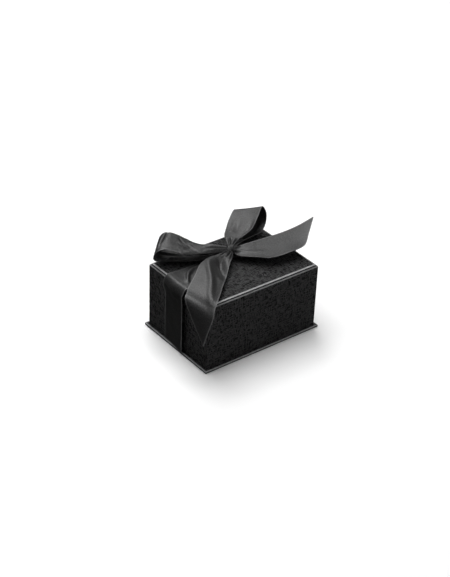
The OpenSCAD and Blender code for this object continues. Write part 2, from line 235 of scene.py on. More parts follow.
class RibbonSettings(bpy.types.PropertyGroup):
    """Satin ribbon."""

    colour: bpy.props.FloatVectorProperty(
        name="Ribbon colour",
        description="Colour of the satin",
        subtype="COLOR", size=3, min=0, max=1, default=(0.004, 0.004, 0.0041),
    )
    width: bpy.props.FloatProperty(
        name="Ribbon width",
        description="Width of the ribbon before it is gathered",
        subtype="DISTANCE", unit="LENGTH", min=0.015, max=0.025, default=0.02,
    )
    thickness: bpy.props.FloatProperty(
        name="Ribbon thickness",
        description="Thickness of the satin",
        subtype="DISTANCE", unit="LENGTH", min=0.0002, max=0.0005, default=0.00028,
    )
    pleat_depth: bpy.props.FloatProperty(
        name="Pleat depth",
        description="Greatest depth of the gathers beside the knot",
        subtype="DISTANCE", unit="LENGTH", min=0, max=0.002, default=0.0009,
    )


class InsertSettings(bpy.types.PropertyGroup):
    """Velvet insert."""

    colour: bpy.props.FloatVectorProperty(
        name="Velvet colour",
        description="Colour of the velvet's pile",
        subtype="COLOR", size=3, min=0, max=1, default=(0.006, 0.006, 0.007),
    )
    crown: bpy.props.FloatProperty(
        name="Crown",
        description="How far the foam pushes up the middle of the velvet",
        subtype="DISTANCE", unit="LENGTH", min=0, max=0.002, default=0.0008,
    )
    slit_length: bpy.props.FloatProperty(
        name="Slit length",
        description="Length of the slit that holds a ring",
        subtype="DISTANCE", unit="LENGTH", min=0.02, max=0.036, default=0.03,
    )
    slit_width: bpy.props.FloatProperty(
        name="Slit width",
        description="Width of the ring slit",
        subtype="DISTANCE", unit="LENGTH", min=0.0012, max=0.0025, default=0.0016,
    )
    cut_depth: bpy.props.FloatProperty(
        name="Cut depth",
        description="Depth of the slit and of the earring holes",
        subtype="DISTANCE", unit="LENGTH", min=0.008, max=0.014, default=0.013,
    )
    hole_offset: bpy.props.FloatProperty(
        name="Earring hole offset",
        description="Distance from the middle of the insert to each earring hole",
        subtype="DISTANCE", unit="LENGTH", min=0.01, max=0.016, default=0.014,
    )


class StageSettings(bpy.types.PropertyGroup):
    """Floor, lights and camera."""

    floor_colour: bpy.props.FloatVectorProperty(
        name="Floor colour",
        description="Colour of the plain floor",
        subtype="COLOR", size=3, min=0, max=1, default=(0.97, 0.97, 0.97),
    )
    key_power: bpy.props.FloatProperty(
        name="Key power",
        description="Power of the large soft light behind and above the box",
        subtype="POWER", unit="POWER", min=0, max=200, default=3,
    )
    side_power: bpy.props.FloatProperty(
        name="Side power",
        description="Power of the light to the left of the box",
        subtype="POWER", unit="POWER", min=0, max=200, default=1.1,
    )
    front_power: bpy.props.FloatProperty(
        name="Front power",
        description="Power of the faint wide light in front of the box",
        subtype="POWER", unit="POWER", min=0, max=200, default=9,
    )
    overhead_power: bpy.props.FloatProperty(
        name="Overhead power",
        description="Power of the wide light above the box",
        subtype="POWER", unit="POWER", min=0, max=200, default=12.5,
    )
    room: bpy.props.FloatProperty(
        name="Room light",
        description="Strength of the even light from all round",
        min=0, max=2, default=0.03,
    )
    lens: bpy.props.FloatProperty(
        name="Lens",
        description="Focal length of the camera",
        min=20, max=200, default=105.4,
    )
    azimuth: bpy.props.FloatProperty(
        name="Azimuth",
        description="Direction of the camera round the box; 0 looks along +Y",
        subtype="ANGLE", unit="ROTATION", default=math.radians(-38.57),
    )
    elevation: bpy.props.FloatProperty(
        name="Elevation",
        description="Height of the camera above the horizon",
        subtype="ANGLE", unit="ROTATION", default=math.radians(32.87),
    )
    roll: bpy.props.FloatProperty(
        name="Roll",
        description="Turn of the camera round its own line of sight",
        subtype="ANGLE", unit="ROTATION", default=math.radians(2.2),
    )
    distance: bpy.props.FloatProperty(
        name="Distance",
        description="Distance from the camera to the point it looks at",
        subtype="DISTANCE", unit="LENGTH", min=0.3, max=3, default=0.8138,
    )
    aim: bpy.props.FloatVectorProperty(
        name="Aim",
        description="Point that the camera looks at",
        subtype="XYZ", unit="LENGTH", size=3, default=(-0.0024, 0.00497, 0.026),
    )


class GiftBoxSettings(bpy.types.PropertyGroup):
    """All settings of the gift box."""

    paper: bpy.props.PointerProperty(type=PaperSettings, name="Paper", description="Paper and boards")
    ribbon: bpy.props.PointerProperty(type=RibbonSettings, name="Ribbon", description="Satin ribbon")
    insert: bpy.props.PointerProperty(type=InsertSettings, name="Insert", description="Velvet insert")
    stage: bpy.props.PointerProperty(type=StageSettings, name="Stage", description="Floor, lights, camera")


def settings():
    """The gift box's settings in this scene."""
    return bpy.context.scene.gift_box


# ---------------------------------------------------------------- node helpers
def new_material(name):
    """An empty node material with a Principled shader."""
    material = bpy.data.materials.new(name)
    material.use_nodes = True
    shader = material.node_tree.nodes["Principled BSDF"]
    return material, material.node_tree, shader


def add_node(tree, kind, **values):
    """Adds a node; values whose names start with in_ set input sockets, the rest set properties."""
    node = tree.nodes.new(kind)
    for key, value in values.items():
        if not key.startswith("in_"):
            setattr(node, key, value)
    for key, value in values.items():
        if key.startswith("in_"):
            node.inputs[key[3:].replace("_", " ")].default_value = value
    return node


def calculate(tree, operation, first, second=None):
    """A Math node on sockets or numbers; returns its output."""
    node = tree.nodes.new("ShaderNodeMath")
    node.operation = operation
    for socket, value in zip(node.inputs, (first, second)):
        if value is None:
            continue
        if isinstance(value, (int, float)):
            socket.default_value = value
        else:
            tree.links.new(value, socket)
    return node.outputs[0]


def mix_colours(tree, factor, low, high):
    """Mixes two colours or colour sockets by a socket; returns the colour output."""
    node = tree.nodes.new("ShaderNodeMix")
    node.data_type = "RGBA"
    tree.links.new(factor, node.inputs["Factor"])
    for socket, value in ((node.inputs[6], low), (node.inputs[7], high)):
        if isinstance(value, bpy.types.NodeSocket):
            tree.links.new(value, socket)
        else:
            socket.default_value = (*value, 1)
    return node.outputs[2]


def scaled_noise(tree, vector, scale, detail=2.0, roughness=0.5):
    """Noise on a vector that is first scaled along each axis; returns its value."""
    mapping = tree.nodes.new("ShaderNodeMapping")
    mapping.inputs["Scale"].default_value = scale
    tree.links.new(vector, mapping.inputs["Vector"])
    node = add_node(tree, "ShaderNodeTexNoise", in_Scale=1.0, in_Detail=detail, in_Roughness=roughness)
    tree.links.new(mapping.outputs[0], node.inputs["Vector"])
    return node.outputs["Fac"]


def remap(tree, value, low, high, to_low=0.0, to_high=1.0):
    """A clamped Map Range; returns its output."""
    node = add_node(tree, "ShaderNodeMapRange")
    node.inputs["From Min"].default_value = low
    node.inputs["From Max"].default_value = high
    node.inputs["To Min"].default_value = to_low
    node.inputs["To Max"].default_value = to_high
    tree.links.new(value, node.inputs["Value"])
    return node.outputs["Result"]


def add_bump(tree, shader, height, distance, strength=1.0):
    """Feeds a height into the shader's normal."""
    bump = add_node(tree, "ShaderNodeBump", in_Strength=strength, in_Distance=distance)
    tree.links.new(height, bump.inputs["Height"])
    tree.links.new(bump.outputs[0], shader.inputs["Normal"])


# ---------------------------------------------------------------- materials
def raised_threads(tree, flat, across, stretch, pitch):
    """Threads raised at a pitch across one direction, that sway a little and break at random."""
    sway = calculate(tree, "MULTIPLY", scaled_noise(tree, flat, (110, 110, 1), 1.0), pitch * 4)
    phase = calculate(tree, "MULTIPLY", calculate(tree, "ADD", across, sway), 2 * math.pi / pitch)
    ridge = remap(tree, calculate(tree, "SINE", phase), -0.1, 0.8)
    broken = remap(tree, scaled_noise(tree, flat, stretch, 0.0), 0.4, 0.56)
    return calculate(tree, "MULTIPLY", ridge, broken)


def linen_paper():
    """Black covering paper embossed with irregular crossed threads; its crests carry a painted highlight and
    its grooves painted shade, and its upper edges a painted highlight over rubbed paper; its map is in
    metres.
    """
    paper = settings().paper
    material, tree, shader = new_material("linen_paper")
    flat = add_node(tree, "ShaderNodeUVMap", uv_map="paper").outputs[0]
    parts = add_node(tree, "ShaderNodeSeparateXYZ")
    tree.links.new(flat, parts.inputs[0])
    fine = 1 / paper.thread_pitch
    slub = fine / 4
    upright = raised_threads(tree, flat, parts.outputs["X"], (fine, slub, 1), paper.thread_pitch)
    level = raised_threads(tree, flat, parts.outputs["Y"], (slub, fine, 1), paper.thread_pitch)
    crest = calculate(tree, "MAXIMUM", upright, level)
    grain = scaled_noise(tree, flat, (9000, 9000, 1), 2.0)
    emboss = calculate(tree, "ADD", crest, calculate(tree, "MULTIPLY", grain, 0.15))
    # Painted highlight over rubbed paper along the upper edges: painted light grey, and also glossier and
    # less embossed there.
    rubbed_and_lit = add_node(tree, "ShaderNodeAttribute", attribute_name="wear_and_highlight").outputs["Fac"]
    patchy = remap(tree, scaled_noise(tree, flat, (420, 420, 1), 3.0), 0.3, 0.7, 0.55, 1.0)
    # Painted highlight and shade of the emboss: the crests are painted lighter and the grooves stay dark.
    emboss_light_and_shade = mix_colours(tree, crest, paper.colour, paper.crest_highlight_colour)
    wear_and_highlight_mask = calculate(tree, "MULTIPLY", rubbed_and_lit, patchy)
    height = calculate(tree, "MULTIPLY", emboss, remap(tree, rubbed_and_lit, 0, 1, 1.0, 0.3))
    tree.links.new(mix_colours(tree, wear_and_highlight_mask, emboss_light_and_shade, paper.worn_highlight_colour), shader.inputs["Base Color"])
    matt = remap(tree, crest, 0, 1, 0.6, 0.42)
    polish = calculate(tree, "MULTIPLY", wear_and_highlight_mask, 0.12)
    tree.links.new(calculate(tree, "SUBTRACT", matt, polish), shader.inputs["Roughness"])
    gloss = calculate(tree, "MAXIMUM", remap(tree, crest, 0, 1, 0.04, 0.5), wear_and_highlight_mask)
    tree.links.new(gloss, shader.inputs["Specular IOR Level"])
    add_bump(tree, shader, height, 0.0002, 0.8)
    return material


def lining_paper():
    """Plain black paper for the inside and the underside."""
    paper = settings().paper
    material, tree, shader = new_material("lining_paper")
    place = add_node(tree, "ShaderNodeTexCoord").outputs["Object"]
    fibre = scaled_noise(tree, place, (3500, 3500, 3500), 3.0)
    patch = scaled_noise(tree, place, (60, 60, 60), 2.0)
    tone = remap(tree, patch, 0.3, 0.7)
    light = [c * 2.2 for c in paper.colour]
    tree.links.new(mix_colours(tree, tone, paper.colour, light), shader.inputs["Base Color"])
    tree.links.new(remap(tree, fibre, 0.3, 0.7, 0.7, 0.85), shader.inputs["Roughness"])
    shader.inputs["Specular IOR Level"].default_value = 0.25
    add_bump(tree, shader, fibre, 0.00004, 0.6)
    return material


def greyboard():
    """Recycled board: pale fibres and dark flecks."""
    material, tree, shader = new_material("greyboard")
    place = add_node(tree, "ShaderNodeTexCoord").outputs["Object"]
    cloud = scaled_noise(tree, place, (250, 250, 250), 4.0)
    fibre = scaled_noise(tree, place, (2500, 900, 1500), 3.0)
    fleck = remap(tree, scaled_noise(tree, place, (1400, 1400, 1400), 1.0), 0.68, 0.75)
    colour = settings().paper.board_colour
    pulp = mix_colours(tree, cloud, [c * 0.75 for c in colour], [c * 1.25 for c in colour])
    tree.links.new(mix_colours(tree, fleck, pulp, [c * 0.35 for c in colour]), shader.inputs["Base Color"])
    tree.links.new(remap(tree, fibre, 0.3, 0.7, 0.82, 0.95), shader.inputs["Roughness"])
    shader.inputs["Specular IOR Level"].default_value = 0.2
    add_bump(tree, shader, fibre, 0.00008, 0.7)
    return material


def corner_tape():
    """Gummed kraft tape with long fibres."""
    material, tree, shader = new_material("corner_tape")
    place = add_node(tree, "ShaderNodeTexCoord").outputs["Object"]
    fibre = scaled_noise(tree, place, (900, 900, 5000), 3.0)
    cloud = scaled_noise(tree, place, (300, 300, 300), 3.0)
    brown = mix_colours(tree, cloud, (0.24, 0.135, 0.065), (0.36, 0.22, 0.11))
    tree.links.new(brown, shader.inputs["Base Color"])
    tree.links.new(remap(tree, fibre, 0.3, 0.7, 0.5, 0.7), shader.inputs["Roughness"])
    add_bump(tree, shader, fibre, 0.00003, 0.6)
    return material


def satin():
    """Black double-faced satin with floats along the ribbon and a corded selvage that is painted lighter as a
    painted highlight; its map is in metres.
    """
    ribbon = settings().ribbon
    material, tree, shader = new_material("satin")
    flat = add_node(tree, "ShaderNodeUVMap", uv_map="cloth").outputs[0]
    rim = add_node(tree, "ShaderNodeAttribute", attribute_name="rim").outputs["Fac"]
    selvage = remap(tree, rim, 0.0003, 0.0008, 1.0, 0.0)
    floats = scaled_noise(tree, flat, (7000, 800, 1), 2.0)
    grain = scaled_noise(tree, flat, (1400, 1000, 1), 1.0)
    cloud = scaled_noise(tree, flat, (140, 90, 1), 2.0)
    tone = remap(tree, calculate(tree, "ADD", floats, calculate(tree, "MULTIPLY", cloud, 0.4)), 0.5, 0.9)
    glint = remap(tree, tone, 0, 1, 0.65, 1.0)
    speckle = calculate(tree, "MULTIPLY", remap(tree, grain, 0.36, 0.64, 0.45, 1.0), glint)
    body = mix_colours(tree, speckle, [c * 0.3 for c in ribbon.colour], [c * 1.6 for c in ribbon.colour])
    # Painted highlight: the selvage is painted far lighter than the satin, standing for the light on the
    # ribbon's edges.
    selvage_highlight = [c * 16.0 for c in ribbon.colour]
    tree.links.new(mix_colours(tree, selvage, body, selvage_highlight), shader.inputs["Base Color"])
    tree.links.new(remap(tree, tone, 0, 1, 0.62, 0.54), shader.inputs["Roughness"])
    tree.links.new(remap(tree, speckle, 0.2, 1, 0.45, 1.0), shader.inputs["Specular IOR Level"])
    shader.inputs["Anisotropic"].default_value = 0.3
    shader.inputs["Sheen Weight"].default_value = 0.018
    shader.inputs["Sheen Roughness"].default_value = 0.35
    tangent = add_node(tree, "ShaderNodeTangent", direction_type="UV_MAP", uv_map="cloth")
    tree.links.new(tangent.outputs[0], shader.inputs["Tangent"])
    weave = calculate(tree, "ADD", floats, grain)
    ribs = calculate(tree, "ADD", weave, calculate(tree, "MULTIPLY", selvage, 1.5))
    add_bump(tree, shader, ribs, 0.00004, 0.7)
    return material


def velvet():
    """Short black pile with brushed patches."""
    insert = settings().insert
    material, tree, shader = new_material("velvet")
    place = add_node(tree, "ShaderNodeTexCoord").outputs["Object"]
    pile = scaled_noise(tree, place, (5200, 5200, 5200), 2.0)
    brushed = scaled_noise(tree, place, (90, 160, 90), 3.0)
    tone = remap(tree, calculate(tree, "ADD", calculate(tree, "MULTIPLY", pile, 0.5), brushed), 0.45, 1.0)
    dark = list(insert.colour)
    tree.links.new(mix_colours(tree, tone, dark, [c * 3.4 for c in dark]), shader.inputs["Base Color"])
    tree.links.new(remap(tree, pile, 0.3, 0.7, 0.85, 1.0), shader.inputs["Roughness"])
    shader.inputs["Specular IOR Level"].default_value = 0.1
    shader.inputs["Sheen Weight"].default_value = 0.35
    shader.inputs["Sheen Roughness"].default_value = 0.3
    add_bump(tree, shader, calculate(tree, "ADD", pile, brushed), 0.00025, 0.8)
    return material


def foam():
    """Open-cell foam."""
    material, tree, shader = new_material("foam")
    place = add_node(tree, "ShaderNodeTexCoord").outputs["Object"]
    cells = add_node(tree, "ShaderNodeTexVoronoi", in_Scale=1400.0)
    tree.links.new(place, cells.inputs["Vector"])
    depth = remap(tree, cells.outputs["Distance"], 0.1, 0.6)
    black = mix_colours(tree, depth, (0.05, 0.05, 0.053), (0.014, 0.014, 0.015))
    tree.links.new(black, shader.inputs["Base Color"])
    tree.links.new(remap(tree, depth, 0, 1, 0.95, 0.8), shader.inputs["Roughness"])
    add_bump(tree, shader, depth, 0.0003, 0.9)
    return material


def floor_finish():
    """Plain pale matt floor."""
    material, tree, shader = new_material("floor")
    place = add_node(tree, "ShaderNodeTexCoord").outputs["Object"]
    cloud = scaled_noise(tree, place, (3, 3, 3), 2.0)
    colour = settings().stage.floor_colour
    tree.links.new(mix_colours(tree, cloud, colour, [c * 0.985 for c in colour]), shader.inputs["Base Color"])
    shader.inputs["Roughness"].default_value = 0.9
    shader.inputs["Specular IOR Level"].default_value = 0.1
    return material


FINISHES = {
    "linen_paper": linen_paper, "liner_paper": lining_paper, "greyboard": greyboard,
    "corner_tape": corner_tape, "satin": satin, "velvet": velvet, "foam": foam, "floor": floor_finish,
}
made = {}


def finish_with(obj, slot, body=None, stands_for=()):
    """Gives a piece its material, its slot, the body it rides on and the nodes it stands for."""
    if slot not in made:
        made[slot] = FINISHES[slot]()
    obj.data.materials.clear()
    obj.data.materials.append(made[slot])
    if body is not None:
        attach(obj, body)
    if stands_for:
        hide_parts(*stands_for)
    return obj


def finish_node(name, slot):
    """Gives a shown CAD node its material."""
    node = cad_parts[name]
    finish_with(node, slot)


# ---------------------------------------------------------------- modelling helpers
def deselect_all():
    """Leaves edit mode and deselects every object."""
    if bpy.context.object is not None and bpy.context.object.mode != "OBJECT":
        bpy.ops.object.mode_set(mode="OBJECT")
    bpy.ops.object.select_all(action="DESELECT")


def add_block(name, low, high):
    """A block between two corners, with its place in its mesh, open for shaping."""
    deselect_all()
    low, high = Vector(low), Vector(high)
    bpy.ops.mesh.primitive_cube_add(size=1, location=(low + high) / 2, scale=high - low)
    obj = bpy.context.object
    obj.name = obj.data.name = name
    bpy.ops.object.transform_apply(location=True, rotation=True, scale=True)
    return obj


def select_parts(obj, kind, test):
    """In edit mode, selects the faces or edges for which test is true of their points."""
    bpy.ops.object.mode_set(mode="EDIT")
    bpy.ops.mesh.select_mode(type=kind)
    bpy.ops.mesh.select_all(action="DESELECT")
    bpy.ops.object.mode_set(mode="OBJECT")
    points = obj.data.vertices
    group = obj.data.polygons if kind == "FACE" else obj.data.edges
    for part in group:
        part.select = bool(test([points[i].co for i in part.vertices]))
    bpy.ops.object.mode_set(mode="EDIT")


def all_at(axis, value, slack=2e-5):
    """A test: every point lies at that value along an axis."""
    return lambda points: all(abs(p[axis] - value) < slack for p in points)


def on_outline(high, slack=0.0008):
    """A test: every point lies on the upright sides of a centred block that reaches to high."""
    return lambda points: all(abs(p.x) > high.x - slack or abs(p.y) > high.y - slack for p in points)


def round_rim(obj, high, height, radius, segments):
    """Rounds the outer and the inner edges of a rim at a height, but not the mitres between them."""
    def outer(points):
        return all_at(2, height)(points) and on_outline(high)(points)

    def inner(points):
        return all_at(2, height)(points) and not any(on_outline(high)([p]) for p in points)

    select_parts(obj, "EDGE", lambda points: outer(points) or inner(points))
    bpy.ops.mesh.bevel(offset=radius, segments=segments, affect="EDGES")


def apply_modifier(obj, kind, **values):
    """Adds a modifier to a piece and applies it."""
    modifier = obj.modifiers.new(kind.lower(), kind)
    for key, value in values.items():
        setattr(modifier, key, value)
    bpy.context.view_layer.objects.active = obj
    bpy.ops.object.modifier_apply(modifier=modifier.name)


def map_paper(obj):
    """Lays each face's map flat along its own plane, in metres."""
    mesh = obj.data
    layer = mesh.uv_layers.get("paper") or mesh.uv_layers.new(name="paper")
    for polygon in mesh.polygons:
        flat = max(range(3), key=lambda axis: abs(polygon.normal[axis]))
        first, second = [axis for axis in range(3) if axis != flat]
        for corner in polygon.loop_indices:
            place = mesh.vertices[mesh.loops[corner].vertex_index].co
            layer.data[corner].uv = (place[first] + 0.37 * flat, place[second])


def mark_wear_and_highlight(obj, high, most):
    """Marks the paper that turns over an upper edge and the strip beside it for a painted highlight over
    rubbed paper, more on the front and the left, where the edges shine towards the camera, than at the rear
    and the right."""
    mesh = obj.data
    wear_and_highlight = mesh.attributes.new("wear_and_highlight", "FLOAT", "CORNER")
    beside = settings().paper.arris * WEAR_HIGHLIGHT_SHARE
    for polygon in mesh.polygons:
        for corner in polygon.loop_indices:
            place = mesh.vertices[mesh.loops[corner].vertex_index].co
            front_left = min(high.x + place.x, high.y + place.y) < beside
            other = min(high.x - place.x, high.y - place.y) < beside
            rubbed_and_lit = most if front_left else REAR_WEAR_HIGHLIGHT * most if other else 0.0
            wear_and_highlight.data[corner].value = rubbed_and_lit if polygon.normal.z > 0.1 else 0.0


def ring_top(obj, top):
    """Adds a narrow ring of faces just inside the edge of the top face."""
    select_parts(obj, "FACE", all_at(2, top))
    bpy.ops.mesh.inset(thickness=settings().paper.arris * RING_SHARE)


def close_paper(obj, edge_high=Vector(), most=0.0):
    """Turns an open shell into paper of real thickness, on the board's side of it."""
    bpy.ops.object.mode_set(mode="OBJECT")
    # The upper edges are marked for their painted highlight over rubbed paper.
    mark_wear_and_highlight(obj, edge_high, most)
    thickness = settings().paper.thickness
    apply_modifier(obj, "SOLIDIFY", thickness=thickness, offset=-1, use_even_offset=True)
    bpy.ops.object.select_all(action="DESELECT")
    obj.select_set(True)
    bpy.ops.object.shade_smooth_by_angle(angle=math.radians(40))
    map_paper(obj)


def shrink_to(low, high, inner_low, inner_high, height):
    """Resizes what is selected from one centred rectangle to another at a height."""
    factor = [(inner_high[i] - inner_low[i]) / (high[i] - low[i]) for i in (0, 1)]
    bpy.ops.transform.resize(value=(*factor, 1), center_override=(0, 0, height))


def extrude_up(distance):
    """Extrudes the selected edges straight up, or down where the distance is negative."""
    bpy.ops.mesh.extrude_edges_move(TRANSFORM_OT_translate={"value": (0, 0, distance)})


# ---------------------------------------------------------------- papers
def open_cover(name, low, high):
    """Paper over the top and the sides of a board, with rounded edges and no underside."""
    obj = add_block(name, low, high)
    select_parts(obj, "EDGE", lambda p: not all_at(2, low.z)(p))
    bpy.ops.mesh.bevel(offset=settings().paper.arris, segments=ARRIS_STEPS, affect="EDGES")
    ring_top(obj, high.z)
    select_parts(obj, "FACE", all_at(2, low.z))
    bpy.ops.mesh.delete(type="FACE")
    return obj


def make_lid_wrap():
    """Covers the top and sides, goes under the lower edge and turns in behind it."""
    paper = settings().paper
    obj = open_cover("lid_wrap_paper", LID_LOW, LID_HIGH)
    bottom = LID_LOW.z
    select_parts(obj, "EDGE", all_at(2, bottom))
    extrude_up(0)
    edge = Vector((paper.thickness, paper.thickness, 0))
    shrink_to(LID_LOW, LID_HIGH, LINING_LOW + edge, LINING_HIGH - edge, bottom)
    extrude_up(paper.hem)
    round_rim(obj, LID_HIGH, bottom, paper.thickness * RIM_SHARE, 2)
    close_paper(obj, LID_HIGH, LID_WEAR_HIGHLIGHT)
    finish_with(obj, "linen_paper", "lid", ["lid_wrap"])


def make_panel_wrap():
    """Covers the raised panel on top of the lid."""
    obj = open_cover("top_panel_paper", PANEL_LOW, PANEL_HIGH)
    close_paper(obj, PANEL_HIGH, PANEL_WEAR_HIGHLIGHT)
    finish_with(obj, "linen_paper", "lid", ["top_panel_wrap"])


def make_lid_lining():
    """Lines the lid's ceiling and walls, over the turned-in hem."""
    obj = add_block("lid_lining_paper", LINING_LOW, LINING_HIGH)
    select_parts(obj, "FACE", all_at(2, LINING_LOW.z))
    bpy.ops.mesh.delete(type="FACE")
    bpy.ops.mesh.select_all(action="SELECT")
    bpy.ops.mesh.bevel(offset=settings().paper.thickness * LINING_SHARE, segments=2, affect="EDGES")
    close_paper(obj)
    finish_with(obj, "liner_paper", "lid", ["lid_lining"])


def make_base_wrap():
    """Covers the base board's top and edges and turns in under it."""
    paper = settings().paper
    obj = add_block("base_wrap_paper", BASE_LOW, BASE_HIGH)
    select_parts(obj, "FACE", all_at(2, BASE_LOW.z))
    bpy.ops.mesh.inset(thickness=paper.hem)
    bpy.ops.mesh.delete(type="FACE")
    select_parts(obj, "EDGE", on_outline(BASE_HIGH))
    bpy.ops.mesh.bevel(offset=paper.arris * BASE_ARRIS_SHARE, segments=3, affect="EDGES")
    ring_top(obj, BASE_HIGH.z)
    close_paper(obj, BASE_HIGH, BASE_WEAR_HIGHLIGHT)
    finish_with(obj, "linen_paper", "base", ["base_wrap"])


def make_base_liner():
    """The sheet under the base, with a raised field where it touches the board inside the hem."""
    paper = settings().paper
    top = LINER_LOW.z + paper.thickness
    obj = add_block("base_liner_paper", LINER_LOW, (LINER_HIGH.x, LINER_HIGH.y, top))
    select_parts(obj, "EDGE", lambda p: abs(p[0].z - p[1].z) > paper.thickness / 2)
    bpy.ops.mesh.bevel(offset=LINER_CORNER, segments=ARRIS_STEPS, affect="EDGES")
    select_parts(obj, "FACE", all_at(2, top))
    bpy.ops.mesh.inset(thickness=LINER_HIGH.x - (BASE_HIGH.x - paper.hem))
    bpy.ops.transform.translate(value=(0, 0, paper.thickness))
    bpy.ops.object.mode_set(mode="OBJECT")
    map_paper(obj)
    finish_with(obj, "liner_paper", "base", ["base_liner"])


def make_tray_wrap():
    """Goes up the outside of the tray, over the rim and down the inside to the floor."""
    paper = settings().paper
    obj = add_block("tray_wrap_paper", TRAY_LOW, TRAY_HIGH)
    top, bottom = TRAY_HIGH.z, TRAY_LOW.z
    select_parts(obj, "FACE", lambda p: all_at(2, top)(p) or all_at(2, bottom)(p))
    bpy.ops.mesh.delete(type="FACE")
    select_parts(obj, "EDGE", lambda p: abs(p[0].z - p[1].z) > (top - bottom) / 2)
    bpy.ops.mesh.bevel(offset=paper.arris, segments=3, affect="EDGES")
    select_parts(obj, "EDGE", all_at(2, top))
    extrude_up(0)
    shrink_to(TRAY_LOW, TRAY_HIGH, WELL_LOW, WELL_HIGH, top)
    extrude_up(bottom - top)
    round_rim(obj, TRAY_HIGH, top, paper.arris, 3)
    close_paper(obj)
    finish_with(obj, "linen_paper", "base", ["tray_wrap"])


# ---------------------------------------------------------------- insert
def slit_distance(x, y, half_length):
    """Distance from a point to the ring slit's line."""
    return math.hypot(max(0.0, abs(x) - half_length), y)


def add_cutter(insert, top):
    """The solid that opens the ring slit and the two earring holes; it stands proud of the cloth."""
    half, width, proud = insert.slit_length / 2, insert.slit_width / 2, LIP_ZONE
    cutter = add_block("cutter", (-half, -width, top - insert.cut_depth), (half, width, top + proud))
    select_parts(cutter, "EDGE", lambda p: abs(p[0].z - p[1].z) > proud)
    bpy.ops.mesh.bevel(offset=width * 0.8, segments=4, affect="EDGES")
    bpy.ops.object.mode_set(mode="OBJECT")
    parts = [cutter]
    for side in (-1, 1):
        deselect_all()
        bpy.ops.mesh.primitive_cylinder_add(
            vertices=24, radius=width, depth=insert.cut_depth + proud,
            location=(0, side * insert.hole_offset, top + (proud - insert.cut_depth) / 2))
        parts.append(bpy.context.object)
    deselect_all()
    for part in parts:
        part.select_set(True)
    bpy.context.view_layer.objects.active = cutter
    bpy.ops.object.join()
    bpy.ops.object.transform_apply(location=True, rotation=True, scale=True)
    return cutter


def open_cuts(obj, insert, top):
    """Cuts the slit and the holes through a piece."""
    cutter = add_cutter(insert, top)
    deselect_all()
    obj.select_set(True)
    apply_modifier(obj, "BOOLEAN", operation="DIFFERENCE", object=cutter, solver="EXACT")
    bpy.data.objects.remove(cutter)


def crowned_block(name, low, high, crown, corner, side_pull, step):
    """A soft block of faces about a step long: rounded, crowned on top and pulled in between its corners."""
    obj = add_block(name, low, high)
    counts = [max(2, round((high[i] - low[i]) / step)) for i in range(3)]
    bpy.ops.object.mode_set(mode="EDIT")
    bpy.ops.mesh.select_all(action="SELECT")
    bpy.ops.mesh.subdivide(number_cuts=max(counts) - 1)
    bpy.ops.object.mode_set(mode="OBJECT")
    half = (Vector(high) - Vector(low)) / 2
    middle = (Vector(high) + Vector(low)) / 2
    for point in obj.data.vertices:
        q = point.co - middle
        core = Vector([max(-(half[i] - corner), min(half[i] - corner, q[i])) for i in range(3)])
        if q.z < 0:
            core.z = q.z
        away = q - core
        if away.length > corner:
            q = core + away.normalized() * corner
        share = [q[i] / half[i] for i in range(3)]
        fall = (1 - share[0] ** 4) * (1 - share[1] ** 4)
        if share[2] > 0:
            q.z += share[2] * (crown * fall - crown)
        pull = side_pull * max(0.0, 1 - share[2] ** 2)
        q.x -= math.copysign(pull * (1 - share[1] ** 2) * abs(share[0]) ** 6, q.x)
        q.y -= math.copysign(pull * (1 - share[0] ** 2) * abs(share[1]) ** 6, q.y)
        point.co = q + middle
    return obj


def soften_lips(obj, insert, top):
    """Rolls the cloth down towards the slit and the holes, and gives it its faint unevenness."""
    half = insert.slit_length / 2
    for point in obj.data.vertices:
        x, y, z = point.co
        if z < top - LIP_ZONE:
            continue
        near = slit_distance(x, y, half)
        dip = SLIT_DIP * math.exp(-((near / SLIT_REACH) ** 2))
        for side in (-1, 1):
            away = math.hypot(x, y - side * insert.hole_offset)
            dip += HOLE_DIP * math.exp(-((away / HOLE_REACH) ** 2))
        uneven = noise.noise(Vector((x, y, 0)) * UNEVEN_SCALE) * UNEVEN
        point.co.z -= dip - uneven


def make_insert():
    """Velvet over foam on a card, cut for a ring and a pair of earrings."""
    insert = settings().insert
    cloth = crowned_block(
        "velvet_cushion", PAD_LOW, PAD_HIGH, insert.crown, corner=0.0022, side_pull=0.00025, step=0.0016)
    soften_lips(cloth, insert, PAD_HIGH.z)
    select_parts(cloth, "FACE", all_at(2, PAD_LOW.z))
    bpy.ops.mesh.delete(type="FACE")
    bpy.ops.object.mode_set(mode="OBJECT")
    apply_modifier(cloth, "SOLIDIFY", thickness=VELVET_T, offset=-1, use_even_offset=False)
    open_cuts(cloth, insert, PAD_HIGH.z)
    bpy.ops.object.shade_smooth_by_angle(angle=math.radians(50))
    finish_with(cloth, "velvet", "insert", ["pad_velvet"])
    foam_top = FOAM_HIGH - Vector((0, 0, FOAM_GAP))
    block = crowned_block(
        "foam_core", FOAM_LOW, foam_top, insert.crown, corner=0.0018, side_pull=0.0002, step=0.0024)
    soften_lips(block, insert, FOAM_HIGH.z)
    open_cuts(block, insert, PAD_HIGH.z)
    bpy.ops.object.shade_smooth_by_angle(angle=math.radians(50))
    finish_with(block, "foam", "insert", ["pad_foam"])


